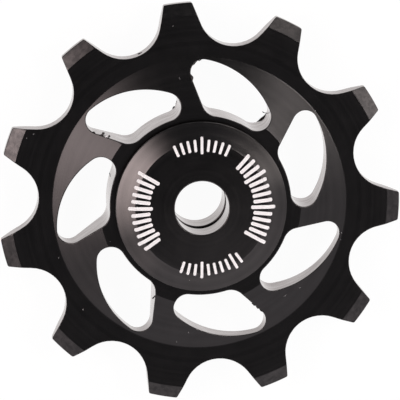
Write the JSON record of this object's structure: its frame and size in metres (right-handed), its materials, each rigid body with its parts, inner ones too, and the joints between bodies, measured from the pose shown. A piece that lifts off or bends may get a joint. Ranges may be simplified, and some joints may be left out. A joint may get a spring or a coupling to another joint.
{
  "type": "derailleur jockey wheel",
  "caption": "Bicycle derailleur jockey wheel: a toothed black aluminium wheel with a windowed conical web, turning on a sealed ball bearing between two bevelled caps.",
  "frame": {"origin": "centre of the axle bore, on the mid-plane of the toothed wheel", "axes": "+Z along the spin axis, out of the front cap; +Y is up in the picture and +X is to its right"},
  "size_m": [0.0457, 0.0459, 0.0094],
  "materials": {
    "wheel_anodised": "black anodised, satin",
    "cap_anodised": "black anodised, satin",
    "bearing_steel": "ground",
    "ball_steel": "polished",
    "cage_nylon": "moulded",
    "seal_rubber": "matt"
  },
  "bodies": {
    "hub": {"front_cap": "cap_anodised", "rear_cap": "cap_anodised", "bearing_inner_ring": "bearing_steel"},
    "wheel": {"toothed_wheel": "wheel_anodised", "bearing_outer_ring": "bearing_steel", "front_seal": "seal_rubber", "rear_seal": "seal_rubber"},
    "ball_set": {"ball_cage": "cage_nylon", "ball_1": "ball_steel", "ball_2": "ball_steel", "ball_3": "ball_steel", "ball_4": "ball_steel", "ball_5": "ball_steel", "ball_6": "ball_steel", "ball_7": "ball_steel", "ball_8": "ball_steel", "ball_9": "ball_steel"}
  },
  "joints": [
    {"name": "wheel_spin", "type": "hinge", "parent": "hub", "child": "wheel", "pos_m": [0, 0, 0], "axis": [0, 0, 1], "continuous": true},
    {"name": "cage_orbit", "type": "hinge", "parent": "hub", "child": "ball_set", "pos_m": [0, 0, 0], "axis": [0, 0, 1], "continuous": true}
  ],
  "couplings": [
    {"joint": "cage_orbit", "follows": "wheel_spin", "ratio": 0.59921}
  ]
}
